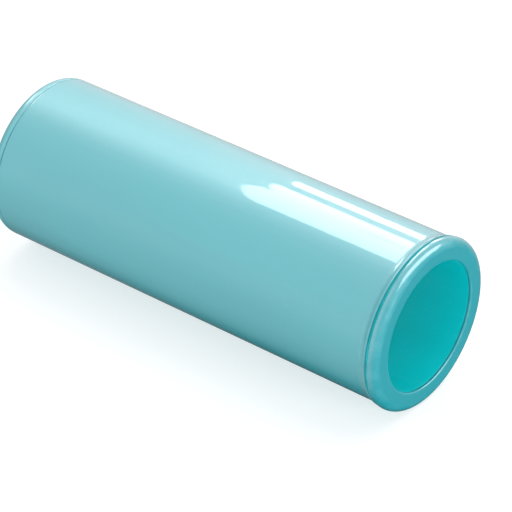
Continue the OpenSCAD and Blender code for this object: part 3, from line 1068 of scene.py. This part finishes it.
def softbox(name, centre, aim, size_u, size_v, radiance, seen_by):
    """A rectangular light that faces aim and isn't seen itself. Its side u runs as level
    with the tube's axis as it can. It is seen by gloss or by matt surfaces."""
    light = bpy.data.lights.new(name, "AREA")
    light.shape = "RECTANGLE"
    light.size, light.size_y = size_u, size_v
    light.energy = radiance * math.pi * size_u * size_v
    made = new_object(name, light)
    back = (Vector(centre) - aim).normalized()
    side = (Vector((1, 0, 0)) - back * back.x).normalized()
    turn = Matrix((side, back.cross(side), back)).transposed().to_4x4()
    made.matrix_world = Matrix.Translation(centre) @ turn
    made.visible_camera = False
    made.visible_glossy = seen_by == "gloss"
    made.visible_diffuse = seen_by == "matt"


class BuildStudio(bpy.types.Operator):
    """Sets the pale floor, the soft lights and the camera"""

    bl_idname = "paint_tube.studio"
    bl_label = "Studio"

    def execute(self, context):
        scene = context.scene
        self.lay_floor(scene)
        for box in SOFTBOXES:
            softbox(*box)
        scene.world = self.air()
        scene.view_settings.view_transform = "Standard"

        lens = bpy.data.cameras.new("studio_camera")
        lens.lens, lens.sensor_width = LENS, SENSOR
        lens.clip_start, lens.clip_end = 0.01, 20.0
        camera = new_object("studio_camera", lens)
        level = math.cos(CAMERA_RISE)
        back = Vector((math.sin(CAMERA_TURN) * level, -math.cos(CAMERA_TURN) * level,
                       math.sin(CAMERA_RISE)))
        camera.location = CAMERA_AT
        camera.rotation_mode = "QUATERNION"
        camera.rotation_quaternion = (-back).to_track_quat("-Z", "Y")
        scene.camera = camera
        return {"FINISHED"}

    @staticmethod
    def lay_floor(scene):
        """A round, matt, slightly clouded floor."""
        bm = bmesh.new()
        bmesh.ops.create_circle(bm, cap_ends=True, segments=96, radius=FLOOR_RADIUS)
        mesh = mesh_of("studio_floor", bm)
        material, tree, shader = new_material("Studio floor")
        hue = scene.tube_colours.floor
        cloud = noise(tree, on_piece(tree), scale=3.0, detail=3.0)
        tone = mix(tree, cloud, rgba(hue, share=0.985), rgba(hue))
        fill(tree, shader, {
            "Base Color": tone, "Roughness": 0.9, "Specular IOR Level": 0.1,
            "Emission Color": (1, 1, 1, 1), "Emission Strength": FLOOR_GLOW})
        mesh.materials.append(material)
        floor = new_object("studio_floor", mesh)
        floor.visible_glossy = False

    @staticmethod
    def air():
        """Even light all round. Gloss sees it fade from a bright ceiling to a dark spot
        beneath and behind the object, and dimmer towards both ends of the tube."""
        world = bpy.data.worlds.new("Studio air")
        world.use_nodes = True
        tree = world.node_tree
        way = node(tree, "SeparateXYZ", None,
                   Vector=node(tree, "TexCoord").outputs["Generated"]).outputs
        height = maths(tree, "SUBTRACT", way["Z"], maths(tree, "MULTIPLY", way["Y"], AIR_LEAN))
        share = maths(tree, "ADD", maths(tree, "MULTIPLY", height, 0.5), 0.5)
        fade = node(tree, "ValToRGB", None, Fac=share)
        stops = fade.color_ramp.elements
        for at, level in AIR_STOPS:
            stops.new(at).color = (level, level, level, 1)
        stops.remove(stops[-1])
        stops.remove(stops[0])
        ends = maths(tree, "MAXIMUM", ramp(tree, way["X"], *MOUTH_END),
                     ramp(tree, maths(tree, "MULTIPLY", way["X"], -1.0), *FRONT_END))
        dim = maths(tree, "SUBTRACT", 1.0, maths(tree, "MULTIPLY", ends, END_DIM))
        dimmed = maths(tree, "MULTIPLY", fade.outputs["Color"], dim)
        gloss = maths(tree, "MULTIPLY", dimmed, GLOSS_AIR)

        path = node(tree, "LightPath").outputs
        for_gloss = maths(tree, "MULTIPLY", maths(tree, "SUBTRACT", gloss, AIR),
                          path["Is Glossy Ray"])
        for_camera = maths(tree, "MULTIPLY", path["Is Camera Ray"], CAMERA_AIR - AIR)
        strength = maths(tree, "ADD", maths(tree, "ADD", AIR, for_gloss), for_camera)
        fill(tree, tree.nodes["Background"], {"Strength": strength, "Color": (1, 1, 1, 1)})
        return world


class PaintTubePanel(bpy.types.Panel):
    """Lists the pieces in the order they are built"""

    bl_idname = "VIEW3D_PT_paint_tube"
    bl_label = "Paint tube"
    bl_space_type = "VIEW_3D"
    bl_region_type = "UI"
    bl_category = "Paint Tube"

    def draw(self, context):
        for operator in OPERATORS:
            self.layout.operator(operator.bl_idname)


OPERATORS = (BuildShell, BuildFrontEnd, BuildLiner, BuildRim, BuildPiston, BuildCap, BuildStudio)
GROUP_NAMES = {"tube_sizes": TubeSizes, "rim_sizes": RimSizes, "liner_sizes": LinerSizes,
               "piston_sizes": PistonSizes, "cap_sizes": CapSizes,
               "tube_colours": FinishColours}


def register():
    for cls in (*GROUP_NAMES.values(), *OPERATORS, PaintTubePanel):
        bpy.utils.register_class(cls)
    for name, cls in GROUP_NAMES.items():
        setattr(bpy.types.Scene, name, PointerProperty(type=cls))


def unregister():
    for name in GROUP_NAMES:
        delattr(bpy.types.Scene, name)
    for cls in reversed((*GROUP_NAMES.values(), *OPERATORS, PaintTubePanel)):
        bpy.utils.unregister_class(cls)


def main():
    register()
    for operator in OPERATORS:
        group, call = operator.bl_idname.split(".")
        getattr(getattr(bpy.ops, group), call)()


if __name__ == "__main__":
    main()
